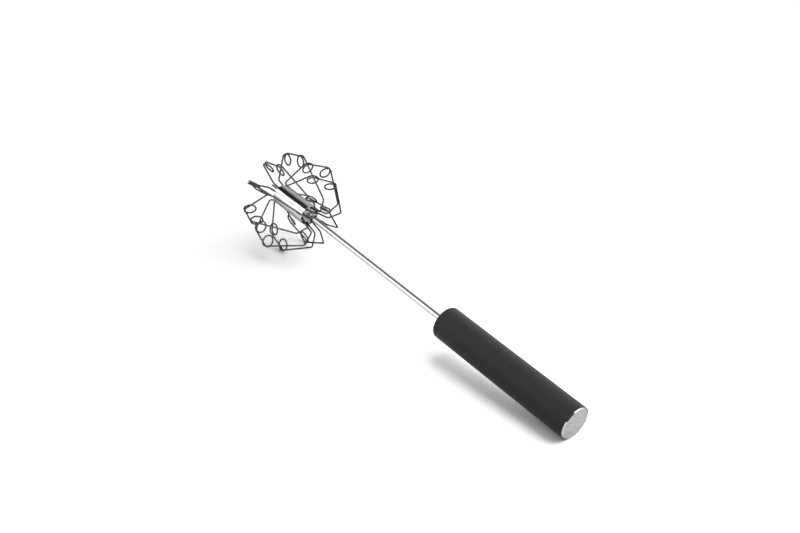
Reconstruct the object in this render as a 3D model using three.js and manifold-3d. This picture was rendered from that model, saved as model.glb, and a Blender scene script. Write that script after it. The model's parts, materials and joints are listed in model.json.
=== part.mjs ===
// Rotary push whisk: pushing the handle towards the head drives a twisted strip through the rod's slotted nut,
// so that the rod and its ten wire wings spin, and a spring pushes them back.
// Millimetres, +Z up. The whisk lies on a table, on its end cap's edge and on its two lowest wings,
// with its axis along +X from the head to the handle. The origin is on the table, under the middle of its box.

import * as THREE from "three";
import { mergeVertices } from "three/addons/utils/BufferGeometryUtils.js";
import Module from "manifold-3d";

const wasm = await Module();
wasm.setup();

// Clearances
const seatGap = 0.3; // between pieces that seat on or in each other
const runningGap = 0.5; // round the nut and washer, which slide in the liner

// Handle sleeve
const handleDiameter = 26;
const handleLength = 129.4; // from the sleeve's front face to the end cap's outer face
const sleeveWall = 1.8;
const sleeveFrontWall = 3;
const sleeveFrontRound = 1.4;
const sleeveBackRound = 0.4;

// End cap, its spigot and the seal in the spigot's groove
const capDiameter = 25.7;
const capThickness = 2.4;
const capChamfer = 0.5;
const capShadowGap = 0.5; // the dark line between the sleeve and the cap
const spigotLength = 6;
const sealThickness = 1.6;
const sealHeight = 1.15; // squeezed between the groove and the sleeve
const sealSleeveGap = 0.08;
const sealSetBack = 1.5; // from the cap's disc to the seal

// Rod, a steel tube with a turned tip
const rodDiameter = 4.6;
const rodWall = 0.5;
const rodExposed = 172.5; // from the hub to the handle, with the rod fully out
const tipReach = 57.6; // from the hub's front rim to the end of the tip
const tipLength = 8;
const tipSpigotLength = 6;

// Front bush, liner and stop ring
const bushNoseDiameter = 10;
const bushNoseProud = 0.8;
const bushNoseChamfer = 0.4;
const bushFlangeThickness = 2;
const linerWall = 1.2;
const stopRingThickness = 1.5;
const stopRingWidth = 4;

// Drive: nut, washer, spring and twisted strip
const stroke = 55; // how far the rod goes into the handle
const stripLead = 36; // travel for one turn
const stripWidth = 2.8;
const stripThickness = 0.8;
const stripEngagement = 6; // how far the strip reaches past the nut's slot with the rod fully out
const stripHeadWidth = 7;
const stripHeadLength = 2.4;
const stripOverlap = 0.5; // of the pieces that the strip is joined from
const nutLength = 12;
const nutSlotDepth = 4;
const nutChamfer = 0.6;
const washerThickness = 1.5;
const washerBore = 6;
const springWire = 1.2;
const springDiameter = 13; // to the middle of the wire
const springCoils = 12;
const springEndSetBack = 0.72; // from the spring's room to the middle of its wire

// Cap plug
const plugLength = 6;
const plugBossLength = 5;
const plugBossDiameter = 10;

// Hub
const hubDiameter = 18;
const hubLength = 41;
const hubWall = 0.7;
const hubRimRound = 0.25;
const hubPlugThickness = 5.2;
const hubPlugSetBack = 0.8; // from the tube's rim to the plug's face
const notchOverrun = 1; // past each face of the plug

// Wings: one wire each, from the front plug out to the shoulder, round two looped corners and back to the rear plug.
// Places are along the axis from the hub's front rim, towards the handle, and out from the axis.
const wireDiameter = 1.4;
const neckAlong = 12.7;
const neckRadius = 10.1;
const shoulderAlong = 14;
const shoulderRadius = 22.5;
const cornerOneAlong = -22.3;
const cornerOneRadius = 44.8;
const cornerTwoAlong = -44.4;
const cornerTwoRadius = 37.2;
const farBendPastHub = 7.6;
const farBendRadius = 10.1;
const wireBendRadius = 2.6;
const wireEntryBendRadius = 5;
const loopRadius = 4.9; // to the middle of the wire
const loopTurnGap = 0.6; // clear space between a loop's two turns
const longestBendShare = 0.45; // of the shorter leg beside a bend

// The wires are bent by hand and by use, each a little off the even shape, as measured over the photo.
// In degrees, sway turns a whole wing about the axis and lean turns its far end on. In millimetres,
// reach and shift move the first corner out and along, and farReach and farShift do so to the second.
const wings = [
  { sway: 4.5, lean: 4, reach: -1.5, shift: 0, farReach: 1, farShift: 0 },
  { sway: 3.5, lean: 1, reach: -1, shift: 0, farReach: -1, farShift: -1 },
  { sway: -6.5, lean: -1.5, reach: -1.5, shift: 0, farReach: -1.5, farShift: -2 },
  { sway: 6, lean: 1, reach: 0.5, shift: 0, farReach: 0, farShift: -0.5 },
  { sway: -1, lean: 9, reach: 0.5, shift: 0, farReach: 0, farShift: -1 },
  { sway: -3.5, lean: 6, reach: 0, shift: -1, farReach: 1.5, farShift: 0 },
  { sway: 2, lean: 1, reach: -2, shift: 0, farReach: 0, farShift: 0 },
  { sway: 6, lean: -5, reach: -0.5, shift: 1.5, farReach: 0, farShift: 3 },
  { sway: -1.5, lean: 3, reach: 0.5, shift: 0, farReach: 0, farShift: 0 },
  { sway: -5, lean: 6, reach: 0.5, shift: 0, farReach: -3, farShift: 0 },
];
const lowestWings = [8, 9]; // the two that the head rests on

// Facets
const handleFacets = 48;
const innerFacets = 32;
const rodFacets = 20;
const notchFacets = 12;
const sealSides = 6;
const wireSides = 6;
const springSides = 5;
const springStepsPerCoil = 8;
const loopSteps = 24;
const bendSteps = 2;
const stripStepDegrees = 15;
const tipDomeSteps = 4;

// How alike two points or directions must be to count as one, and how fine the checks are
const mergeDistance = 1e-4;
const nearlyUpright = 0.9;
const checkSteps = 4; // between two points of a wire
const apartInDiameters = 4; // along the wire, before its clear space to itself counts
const tiltPasses = 8;

// Radii that follow from the sizes
const handleRadius = handleDiameter / 2;
const sleeveBore = handleRadius - sleeveWall;
const capRadius = capDiameter / 2;
const spigotRadius = sleeveBore - seatGap;
const linerOuter = sleeveBore - seatGap;
const linerBore = linerOuter - linerWall;
const slidingRadius = linerBore - runningGap;
const rodRadius = rodDiameter / 2;
const rodBore = rodRadius - rodWall;
const rodHole = rodRadius + seatGap;
const bushNoseRadius = bushNoseDiameter / 2;
const plugBossRadius = plugBossDiameter / 2;
const hubRadius = hubDiameter / 2;
const hubBore = hubRadius - hubWall;
const hubPlugRadius = hubBore - seatGap;
const wireRadius = wireDiameter / 2;
const wireSeatRadius = hubBore - seatGap - wireRadius;

// Places along the axis, from the hub's front rim towards the handle
const handleFront = rodExposed;
const handleBack = handleFront + handleLength;
const capDiscFront = handleBack - capThickness;
const sleeveBack = capDiscFront - capShadowGap;
const spigotFront = capDiscFront - spigotLength;
const plugBack = spigotFront - seatGap;
const plugFront = plugBack - plugLength;
const sleeveFloor = handleFront + sleeveFrontWall;
const bushFlangeFront = sleeveFloor + seatGap;
const bushFlangeBack = bushFlangeFront + bushFlangeThickness;
const stopRingFront = bushFlangeBack + seatGap;
const nutFront = stopRingFront + stopRingThickness + seatGap;
const nutBack = nutFront + nutLength;
const nutSlotFront = nutBack - nutSlotDepth;
const rodBack = nutSlotFront - seatGap;
const washerFront = nutBack + seatGap;
const springFront = washerFront + washerThickness + seatGap;
const springBack = plugFront - seatGap;
const stripFront = nutSlotFront - stripEngagement;
const stripHeadBack = plugBack - seatGap;
const rodTubeFront = tipLength - tipReach;

// Materials
const softTouch = new THREE.MeshStandardMaterial({ color: "#363636", roughness: 0.62, metalness: 0 });
const brushedSteel = new THREE.MeshStandardMaterial({ color: "#c4c4c4", roughness: 0.32, metalness: 1 });
const polishedSteel = new THREE.MeshStandardMaterial({ color: "#d8d8d8", roughness: 0.1, metalness: 1 });
const wireSteel = new THREE.MeshStandardMaterial({ color: "#cfcfcf", roughness: 0.18, metalness: 1 });
const springSteel = new THREE.MeshStandardMaterial({ color: "#9a9a9a", roughness: 0.35, metalness: 1 });
const acetal = new THREE.MeshStandardMaterial({ color: "#e4e2dc", roughness: 0.45, metalness: 0 });
const blackRubber = new THREE.MeshStandardMaterial({ color: "#1c1c1c", roughness: 0.8, metalness: 0 });

// A solid of revolution about +X from points [along the axis, radius]
function turned(profile, facets) {
  const points = profile.map(([along, radius]) => new THREE.Vector2(radius, along));
  const geometry = new THREE.LatheGeometry(points, facets);
  geometry.rotateZ(-Math.PI / 2);
  return cleaned(geometry);
}

// A ring of revolution about +X whose closed profile never meets the axis
function turnedRing(profile, facets) {
  return turned([...profile, profile[0]], facets);
}

function toSolid(geometry) {
  const bare = geometry.index ? geometry.clone() : geometry;
  bare.deleteAttribute("normal");
  bare.deleteAttribute("uv");
  const merged = mergeVertices(bare, mergeDistance);
  const corners = merged.index.array;
  const kept = [];
  for (let i = 0; i < corners.length; i += 3) {
    const [a, b, c] = [corners[i], corners[i + 1], corners[i + 2]];
    if (a !== b && b !== c && c !== a) {
      kept.push(a, b, c);
    }
  }
  const mesh = new wasm.Mesh({
    numProp: 3,
    vertProperties: new Float32Array(merged.attributes.position.array),
    triVerts: new Uint32Array(kept),
  });
  return new wasm.Manifold(mesh);
}

function toGeometry(solid) {
  const mesh = solid.getMesh();
  const geometry = new THREE.BufferGeometry();
  geometry.setAttribute("position", new THREE.BufferAttribute(new Float32Array(mesh.vertProperties), 3));
  geometry.setIndex(new THREE.BufferAttribute(new Uint32Array(mesh.triVerts), 1));
  geometry.computeVertexNormals();
  return geometry;
}

// Turns a geometry whose faces may all point inwards into one whose faces point out
function cleaned(geometry) {
  let solid = toSolid(geometry);
  if (solid.volume() < 0) {
    const flipped = toGeometry(solid);
    const index = flipped.index.array;
    for (let i = 0; i < index.length; i += 3) {
      [index[i], index[i + 1]] = [index[i + 1], index[i]];
    }
    solid = toSolid(flipped);
  }
  return toGeometry(solid);
}

function named(name, geometry, material, along = 0) {
  const mesh = new THREE.Mesh(geometry, material);
  mesh.name = name;
  mesh.position.x = along;
  return mesh;
}

// One closed tube with flat ends along a list of points, with its section carried on without twisting
function tubeAlong(points, radius, sides) {
  const tangents = points.map((point, i) => {
    const ahead = points[Math.min(i + 1, points.length - 1)];
    const behind = points[Math.max(i - 1, 0)];
    const before = new THREE.Vector3().subVectors(point, behind).normalize();
    const after = new THREE.Vector3().subVectors(ahead, point).normalize();
    return before.add(after).normalize();
  });
  const start = Math.abs(tangents[0].z) < nearlyUpright ? new THREE.Vector3(0, 0, 1) : new THREE.Vector3(0, 1, 0);
  let across = start.sub(tangents[0].clone().multiplyScalar(start.dot(tangents[0]))).normalize();
  const positions = [];
  points.forEach((point, i) => {
    if (i > 0) {
      const turn = new THREE.Quaternion().setFromUnitVectors(tangents[i - 1], tangents[i]);
      across = across.clone().applyQuaternion(turn);
    }
    const up = new THREE.Vector3().crossVectors(tangents[i], across);
    for (let k = 0; k < sides; k++) {
      const angle = (2 * Math.PI * k) / sides;
      const place = point.clone();
      place.addScaledVector(across, radius * Math.cos(angle));
      place.addScaledVector(up, radius * Math.sin(angle));
      positions.push(place.x, place.y, place.z);
    }
  });
  const index = [];
  for (let i = 0; i < points.length - 1; i++) {
    for (let k = 0; k < sides; k++) {
      const a = i * sides + k;
      const b = i * sides + ((k + 1) % sides);
      index.push(a, b, b + sides, a, b + sides, a + sides);
    }
  }
  const last = (points.length - 1) * sides;
  for (let k = 1; k < sides - 1; k++) {
    index.push(0, k + 1, k);
    index.push(last, last + k, last + k + 1);
  }
  const geometry = new THREE.BufferGeometry();
  geometry.setAttribute("position", new THREE.Float32BufferAttribute(positions, 3));
  geometry.setIndex(index);
  return cleaned(geometry);
}

// The circle radius that gives a many-sided section the same area as the round one
function sectionRadius(radius, sides) {
  const angle = (2 * Math.PI) / sides;
  return radius * Math.sqrt(angle / Math.sin(angle));
}

// A flat strip from 0 to length along +X, turning with the drive's lead
function twistedBar(width, thickness, from, to) {
  const steps = Math.max(1, Math.ceil(((to - from) / stripLead) * (360 / stripStepDegrees)));
  const positions = [];
  for (let i = 0; i <= steps; i++) {
    const along = from + ((to - from) * i) / steps;
    const angle = (2 * Math.PI * along) / stripLead;
    for (const [w, t] of [[1, 1], [-1, 1], [-1, -1], [1, -1]]) {
      const y = (w * width) / 2;
      const z = (t * thickness) / 2;
      positions.push(along, y * Math.cos(angle) - z * Math.sin(angle), y * Math.sin(angle) + z * Math.cos(angle));
    }
  }
  const index = [];
  for (let i = 0; i < steps; i++) {
    for (let k = 0; k < 4; k++) {
      const a = 4 * i + k;
      const b = 4 * i + ((k + 1) % 4);
      index.push(a, b, b + 4, a, b + 4, a + 4);
    }
  }
  const last = 4 * steps;
  index.push(0, 2, 1, 0, 3, 2, last, last + 1, last + 2, last, last + 2, last + 3);
  const geometry = new THREE.BufferGeometry();
  geometry.setAttribute("position", new THREE.Float32BufferAttribute(positions, 3));
  geometry.setIndex(index);
  return cleaned(geometry);
}

// Handle: the sleeve is closed in front, apart from the bush's hole, and open at the back
function handleSleeve() {
  const length = sleeveBack - handleFront;
  const hole = bushNoseRadius + seatGap;
  const round = sleeveFrontRound;
  const halfWay = round * (1 - Math.SQRT1_2);
  return turnedRing([
    [0, hole],
    [0, handleRadius - round],
    [halfWay, handleRadius - halfWay],
    [round, handleRadius],
    [length - sleeveBackRound, handleRadius],
    [length, handleRadius - sleeveBackRound],
    [length, sleeveBore],
    [sleeveFrontWall, sleeveBore],
    [sleeveFrontWall, hole],
  ], handleFacets);
}

function frontBush() {
  const noseLength = bushFlangeFront - handleFront + bushNoseProud;
  return turnedRing([
    [0, rodHole],
    [0, bushNoseRadius - bushNoseChamfer],
    [bushNoseChamfer, bushNoseRadius],
    [noseLength, bushNoseRadius],
    [noseLength, linerOuter],
    [noseLength + bushFlangeThickness, linerOuter],
    [noseLength + bushFlangeThickness, rodHole],
  ], innerFacets);
}

function plainRing(bore, radius, length, facets) {
  return turnedRing([[0, bore], [0, radius], [length, radius], [length, bore]], facets);
}

function endCap() {
  const groove = spigotRadius - sealThickness + seatGap;
  const grooveBack = spigotLength - sealSetBack;
  const grooveFront = grooveBack - sealThickness - 2 * seatGap;
  const length = spigotLength + capThickness;
  return turned([
    [0, 0],
    [0, spigotRadius],
    [grooveFront, spigotRadius],
    [grooveFront, groove],
    [grooveBack, groove],
    [grooveBack, spigotRadius],
    [spigotLength, spigotRadius],
    [spigotLength, capRadius - capChamfer / 2],
    [spigotLength + capChamfer / 2, capRadius],
    [length - capChamfer, capRadius],
    [length, capRadius - capChamfer],
    [length, 0],
  ], handleFacets);
}

function capSeal() {
  const half = sealThickness / 2;
  const middle = sleeveBore - sealSleeveGap - sealHeight / 2;
  const profile = [];
  for (let k = 0; k < sealSides; k++) {
    const angle = (2 * Math.PI * k) / sealSides;
    profile.push([half - half * Math.cos(angle), middle + (sealHeight / 2) * Math.sin(angle)]);
  }
  return turnedRing(profile, innerFacets);
}

// The plug centres the spring on its boss and holds the strip's wide head in a slot in its back
function capPlug() {
  const body = turned([
    [0, 0],
    [0, plugBossRadius],
    [plugBossLength, plugBossRadius],
    [plugBossLength, spigotRadius],
    [plugBossLength + plugLength, spigotRadius],
    [plugBossLength + plugLength, 0],
  ], innerFacets);
  const front = plugFront - plugBossLength;
  const slot = new THREE.BoxGeometry(
    plugLength + plugBossLength + 2 * seatGap,
    stripWidth + 2 * seatGap,
    stripWidth + 2 * seatGap,
  );
  slot.translate((plugLength + plugBossLength) / 2, 0, 0);
  const recess = new THREE.BoxGeometry(
    stripHeadLength + 2 * seatGap,
    stripHeadWidth + 2 * seatGap,
    stripThickness + 2 * seatGap,
  );
  recess.translate(plugBack - front - stripHeadLength / 2, 0, 0);
  return toGeometry(toSolid(body).subtract(toSolid(slot)).subtract(toSolid(recess)));
}

// The strip is held straight in the plug and twists from there to its front end
function twistedStrip() {
  const twistBack = plugFront - plugBossLength - seatGap;
  const length = twistBack - stripFront;
  const bar = twistedBar(stripWidth, stripThickness, 0, length);
  const endAngle = (2 * Math.PI * length) / stripLead;
  const shankLength = stripHeadBack - twistBack;
  const shank = new THREE.BoxGeometry(shankLength + stripOverlap, stripWidth, stripThickness);
  shank.translate(length - stripOverlap + (shankLength + stripOverlap) / 2, 0, 0);
  const head = new THREE.BoxGeometry(stripHeadLength, stripHeadWidth, stripThickness);
  head.translate(length + shankLength - stripHeadLength / 2, 0, 0);
  const straight = toSolid(shank).add(toSolid(head));
  bar.rotateX(-endAngle);
  return toGeometry(toSolid(bar).add(straight));
}

// The strip's angle at a place along the axis
function stripAngleAt(along) {
  const twistBack = plugFront - plugBossLength - seatGap;
  return (2 * Math.PI * (along - twistBack)) / stripLead;
}

// The nut takes the rod's end in its front and has the strip's twisted slot in its back
function driveNut() {
  const body = turned([
    [0, rodHole],
    [0, slidingRadius - nutChamfer],
    [nutChamfer, slidingRadius],
    [nutLength, slidingRadius],
    [nutLength, 0],
    [nutLength - nutSlotDepth, 0],
    [nutLength - nutSlotDepth, rodHole],
    [0, rodHole],
  ], innerFacets);
  const slot = twistedBar(
    stripWidth + 2 * seatGap,
    stripThickness + 2 * seatGap,
    -seatGap,
    nutSlotDepth + seatGap,
  );
  slot.rotateX(stripAngleAt(nutSlotFront));
  slot.translate(nutLength - nutSlotDepth, 0, 0);
  return toGeometry(toSolid(body).subtract(toSolid(slot)));
}

function returnSpring() {
  const length = springBack - springFront;
  const radius = springDiameter / 2;
  const rise = length - 2 * springEndSetBack;
  const steps = springCoils * springStepsPerCoil;
  const points = [];
  for (let i = 0; i <= steps; i++) {
    const angle = (2 * Math.PI * i) / springStepsPerCoil;
    const along = springEndSetBack + (rise * i) / steps;
    points.push(new THREE.Vector3(along, radius * Math.cos(angle), radius * Math.sin(angle)));
  }
  return { points, geometry: tubeAlong(points, sectionRadius(springWire / 2, springSides), springSides) };
}

// Rod: its hollow takes the strip as the rod goes in
function rodTube() {
  const length = rodBack - rodTubeFront;
  return plainRing(rodBore, rodRadius, length, rodFacets);
}

function rodTip() {
  const dome = rodRadius;
  const length = tipLength - seatGap;
  const profile = [[0, 0]];
  for (let k = 1; k <= tipDomeSteps; k++) {
    const angle = (k * Math.PI) / 2 / tipDomeSteps;
    profile.push([dome - dome * Math.cos(angle), dome * Math.sin(angle)]);
  }
  profile.push([length, rodRadius]);
  profile.push([length, rodBore - seatGap]);
  profile.push([length + tipSpigotLength, rodBore - seatGap]);
  profile.push([length + tipSpigotLength, 0]);
  return turned(profile, rodFacets);
}

// Hub
function hubTube() {
  const round = hubRimRound;
  return turnedRing([
    [0, hubBore],
    [0, hubRadius - round],
    [round, hubRadius],
    [hubLength - round, hubRadius],
    [hubLength, hubRadius - round],
    [hubLength, hubBore],
  ], handleFacets);
}

const wingPitch = 360 / wings.length;
// Turns the head so that its two lowest wings stand evenly on both sides of straight down, which is at 270 degrees
const lowestMiddle = lowestWings.reduce((sum, k) => sum + k * wingPitch + wings[k].sway, 0) / lowestWings.length;
const firstSeat = 270 - lowestMiddle;

function hubPlug() {
  let solid = toSolid(plainRing(rodHole, hubPlugRadius, hubPlugThickness, innerFacets));
  const notchLength = hubPlugThickness + 2 * notchOverrun;
  wings.forEach((wing, k) => {
    const seat = THREE.MathUtils.degToRad(firstSeat + k * wingPitch);
    const notch = new THREE.CylinderGeometry(wireRadius + seatGap, wireRadius + seatGap, notchLength, notchFacets);
    notch.rotateZ(Math.PI / 2);
    notch.translate(hubPlugThickness / 2, wireSeatRadius * Math.cos(seat), wireSeatRadius * Math.sin(seat));
    solid = solid.subtract(toSolid(notch));
  });
  return toGeometry(solid);
}

// Wings
function station(along, radius, degrees) {
  const angle = THREE.MathUtils.degToRad(degrees);
  return new THREE.Vector3(along, radius * Math.cos(angle), radius * Math.sin(angle));
}

// The points of a plain bend of the wire at a corner, with its radius kept within the legs on both sides
function bend(before, corner, after, radius) {
  const into = new THREE.Vector3().subVectors(corner, before);
  const out = new THREE.Vector3().subVectors(after, corner);
  const shortest = Math.min(into.length(), out.length());
  into.normalize();
  out.normalize();
  const turn = into.angleTo(out);
  const tangent = Math.min(radius * Math.tan(turn / 2), shortest * longestBendShare);
  const start = corner.clone().addScaledVector(into, -tangent);
  const end = corner.clone().addScaledVector(out, tangent);
  const curve = new THREE.QuadraticBezierCurve3(start, corner, end);
  return curve.getPoints(bendSteps);
}

// The points of a coil loop inside a corner: the wire goes once round and on into the other leg,
// and steps sideways as it goes, so that its two turns lie side by side
function loop(before, corner, after) {
  const into = new THREE.Vector3().subVectors(corner, before).normalize();
  const out = new THREE.Vector3().subVectors(after, corner).normalize();
  const turn = into.angleTo(out);
  const normal = new THREE.Vector3().crossVectors(into, out).normalize();
  const inward = new THREE.Vector3().crossVectors(normal, into);
  const start = corner.clone().addScaledVector(into, -loopRadius * Math.tan(turn / 2));
  const centre = start.clone().addScaledVector(inward, loopRadius);
  const whole = 2 * Math.PI + turn;
  const side = ((wireDiameter + loopTurnGap) * whole) / (2 * Math.PI);
  const points = [];
  for (let i = 0; i <= loopSteps; i++) {
    const angle = (whole * i) / loopSteps;
    const place = centre.clone();
    place.addScaledVector(inward, -loopRadius * Math.cos(angle));
    place.addScaledVector(into, loopRadius * Math.sin(angle));
    place.addScaledVector(normal, side * (i / loopSteps - 0.5));
    points.push(place);
  }
  return points;
}

function wingRoute(wing, k) {
  const seat = firstSeat + k * wingPitch;
  const near = seat + wing.sway - wing.lean / 2;
  const middle = seat + wing.sway;
  const far = seat + wing.sway + wing.lean / 2;
  const plugInset = hubPlugSetBack + hubPlugThickness;
  const route = [
    station(-plugInset, wireSeatRadius, seat),
    station(0, wireSeatRadius, seat),
    station(neckAlong, neckRadius, near),
    station(shoulderAlong, shoulderRadius, near),
    station(cornerOneAlong + wing.shift, cornerOneRadius + wing.reach, middle),
    station(cornerTwoAlong + wing.farShift, cornerTwoRadius + wing.farReach, far),
    station(-hubLength - farBendPastHub, farBendRadius, far),
    station(-hubLength, wireSeatRadius, seat),
    station(-hubLength + plugInset, wireSeatRadius, seat),
  ];
  return [
    route[0],
    ...bend(route[0], route[1], route[2], wireEntryBendRadius),
    ...bend(route[1], route[2], route[3], wireBendRadius),
    ...bend(route[2], route[3], route[4], wireBendRadius),
    ...loop(route[3], route[4], route[5]),
    ...loop(route[4], route[5], route[6]),
    ...bend(route[5], route[6], route[7], wireBendRadius),
    ...bend(route[6], route[7], route[8], wireEntryBendRadius),
    route[8],
  ];
}

// The least clear space between a wire and itself, between points that lie well apart along it
function leastGapToItself(points, diameter) {
  const curve = [];
  for (let i = 0; i < points.length - 1; i++) {
    for (let s = 0; s < checkSteps; s++) {
      curve.push(points[i].clone().lerp(points[i + 1], s / checkSteps));
    }
  }
  const travelled = [0];
  for (let i = 1; i < curve.length; i++) {
    travelled.push(travelled[i - 1] + curve[i].distanceTo(curve[i - 1]));
  }
  let least = Infinity;
  for (let i = 0; i < curve.length; i++) {
    for (let j = i + 1; j < curve.length; j++) {
      if (travelled[j] - travelled[i] > apartInDiameters * diameter) {
        least = Math.min(least, curve[i].distanceTo(curve[j]) - diameter);
      }
    }
  }
  return least;
}

const routes = wings.map(wingRoute);
const spring = returnSpring();
const leastWingGap = Math.min(...routes.map((points) => leastGapToItself(points, wireDiameter)));
console.log(`least gap of a wing's wire to itself: ${leastWingGap.toFixed(2)} mm`);
console.log(`least gap of the return spring to itself: ${leastGapToItself(spring.points, springWire).toFixed(2)} mm`);
const pressedRoom = springBack - springFront - stroke - springCoils * springWire;
console.log(`room left along the pressed spring: ${pressedRoom.toFixed(2)} mm`);

// Lying on the table: the axis tilts until the lowest wires and the handle's back edge are level
function restingTilt() {
  const handleEdges = [
    [sleeveBack - sleeveBackRound, handleRadius],
    [handleBack - capChamfer, capRadius],
  ];
  const headPoints = routes.flat();
  let tilt = 0;
  for (let pass = 0; pass < tiltPasses; pass++) {
    const drop = (along, below) => along * Math.sin(tilt) + below * Math.cos(tilt);
    const lowest = headPoints.reduce((a, b) => (drop(b.x, -b.z) > drop(a.x, -a.z) ? b : a));
    const edge = handleEdges.reduce((a, b) => (drop(...b) > drop(...a) ? b : a));
    tilt = Math.atan2(-lowest.z + wireRadius - edge[1], edge[0] - lowest.x);
  }
  return tilt;
}

const handle = new THREE.Group();
handle.add(
  named("handle_sleeve", handleSleeve(), softTouch, handleFront),
  named("front_bush", frontBush(), acetal, handleFront - bushNoseProud),
  named("handle_core", plainRing(linerBore, linerOuter, springBack - stopRingFront, handleFacets), acetal, stopRingFront),
  named("stop_ring", plainRing(rodHole, rodHole + stopRingWidth, stopRingThickness, innerFacets), blackRubber, stopRingFront),
  named("return_spring", spring.geometry, springSteel, springFront),
  named("twisted_strip", twistedStrip(), brushedSteel, stripFront),
  named("cap_plug", capPlug(), acetal, plugFront - plugBossLength),
  named("cap_seal", capSeal(), blackRubber, capDiscFront - sealSetBack - sealThickness - seatGap),
  named("end_cap", endCap(), brushedSteel, spigotFront),
);

const follower = new THREE.Group();
follower.add(
  named("thrust_washer", plainRing(washerBore / 2, slidingRadius, washerThickness, innerFacets), acetal, washerFront),
);

const spindle = new THREE.Group();
spindle.add(
  named("drive_nut", driveNut(), acetal, nutFront),
  named("rod_tube", rodTube(), polishedSteel, rodTubeFront),
  named("rod_tip", rodTip(), polishedSteel, -tipReach),
  named("hub_tube", hubTube(), polishedSteel, -hubLength),
  named("hub_front_plug", hubPlug(), polishedSteel, -hubPlugSetBack - hubPlugThickness),
  named("hub_rear_plug", hubPlug(), polishedSteel, -hubLength + hubPlugSetBack),
);
routes.forEach((points, k) => {
  const name = `wire_wing_${String(k + 1).padStart(2, "0")}`;
  spindle.add(named(name, tubeAlong(points, sectionRadius(wireRadius, wireSides), wireSides), wireSteel));
});

const lying = new THREE.Group();
lying.add(handle, follower, spindle);
lying.rotation.y = restingTilt();

const whisk = new THREE.Group();
whisk.add(lying);
whisk.updateMatrixWorld(true);
const box = new THREE.Box3().setFromObject(whisk, true);
const middle = box.getCenter(new THREE.Vector3());
lying.position.set(-middle.x, -middle.y, -box.min.z);
whisk.updateMatrixWorld(true);

export default whisk;
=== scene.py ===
"""A rotary push whisk lying on a white table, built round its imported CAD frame.

The scene has three sub-assemblies: a handle that holds the drive, a spindle with the rod, hub and ten wire wings,
and the studio that they lie in. Sizes are in millimetres. The studio's are in the row's frame, and the whisk's in its
own frame, whose origin is the centre of the hub's front rim and whose +X runs along the axis to the handle. One
matrix takes that frame to the row's frame.
"""

import json
import logging
import math
from dataclasses import dataclass
from enum import Enum
from typing import ClassVar

import bpy
from bpy.types import ID, Material, Mesh, Node, NodeSocket, NodeTree, Object
from mathutils import Matrix, Quaternion, Vector


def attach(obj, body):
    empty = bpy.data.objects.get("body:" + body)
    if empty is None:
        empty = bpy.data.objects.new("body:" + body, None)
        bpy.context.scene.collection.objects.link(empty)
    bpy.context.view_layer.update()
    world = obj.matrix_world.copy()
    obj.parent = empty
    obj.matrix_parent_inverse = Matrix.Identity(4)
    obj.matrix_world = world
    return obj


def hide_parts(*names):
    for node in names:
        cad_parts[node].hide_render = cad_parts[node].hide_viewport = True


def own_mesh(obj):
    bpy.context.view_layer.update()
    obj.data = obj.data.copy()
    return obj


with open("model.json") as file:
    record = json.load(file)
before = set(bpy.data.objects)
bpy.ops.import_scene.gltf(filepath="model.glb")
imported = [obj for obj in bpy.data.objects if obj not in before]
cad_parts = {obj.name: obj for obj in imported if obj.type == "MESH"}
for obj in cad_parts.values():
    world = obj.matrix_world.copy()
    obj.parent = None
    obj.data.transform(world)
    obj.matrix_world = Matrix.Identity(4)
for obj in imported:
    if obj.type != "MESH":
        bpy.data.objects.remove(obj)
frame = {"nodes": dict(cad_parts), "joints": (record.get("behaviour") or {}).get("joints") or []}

MM = 0.001
WAVE_SPACING = 0.314  # metres between the rings of Blender's wave texture at a scale of 1
ON_AXIS = 1e-6  # a profile's point nearer to the axis than this, in millimetres, is a pole
NEAR_UPRIGHT = 0.9  # the Z of a wire's direction above which its sides are laid out from Y
END_BEVEL = 0.3  # of a wire's radius
TURNED_EDGE = 40.0  # degrees above which an edge of a turned piece stays sharp
WIRE_EDGE = 50.0
PLUG_EDGE = 30.0
STRAIGHT_DOWN = 270  # degrees about the whisk's axis
QUAD = (0, 1, 2, 3)
FEW_LAYERS = 2.0  # the finer layers of a noise
MORE_LAYERS = 3.0

log = logging.getLogger("whisk")


class Body(Enum):
    """The CAD bodies that the dressed pieces ride on."""

    HANDLE = "handle"
    SPINDLE = "spindle"


class Slot(Enum):
    """The record's material slots, named with each dressed piece."""

    SLEEVE = "soft_touch_sleeve"
    CAP = "brushed_cap_steel"
    ROD = "polished_rod_steel"
    WIRE = "wing_wire_steel"
    SPRING = "spring_steel"
    ACETAL = "white_acetal"


def linear(hex_colour: str) -> tuple[float, float, float, float]:
    """Turns an sRGB hex colour to linear light, by the curve of the sRGB standard.

    Args:
        hex_colour: Six hex digits after a number sign.

    Returns:
        Red, green, blue and an alpha of 1.
    """
    channels = []
    for start in (1, 3, 5):
        value = int(hex_colour[start : start + 2], 16) / 255
        channels.append(value / 12.92 if value <= 0.04045 else ((value + 0.055) / 1.055) ** 2.4)
    return (channels[0], channels[1], channels[2], 1.0)


def add_node(tree: NodeTree, kind: str, inputs: dict | None = None) -> Node:
    """Adds one node with its values and the links into it.

    Args:
        tree: The node tree that it goes into.
        kind: The node's Blender type, without "ShaderNode" in front.
        inputs: Values, or output sockets that feed it, by the name or number of an input or the name of a property.

    Returns:
        The new node.
    """
    node = tree.nodes.new("ShaderNode" + kind)
    for name, value in (inputs or {}).items():
        if isinstance(value, NodeSocket):
            tree.links.new(value, node.inputs[name])
        elif isinstance(name, int) or name in node.inputs:
            node.inputs[name].default_value = value
        else:
            setattr(node, name, value)
    return node


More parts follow.
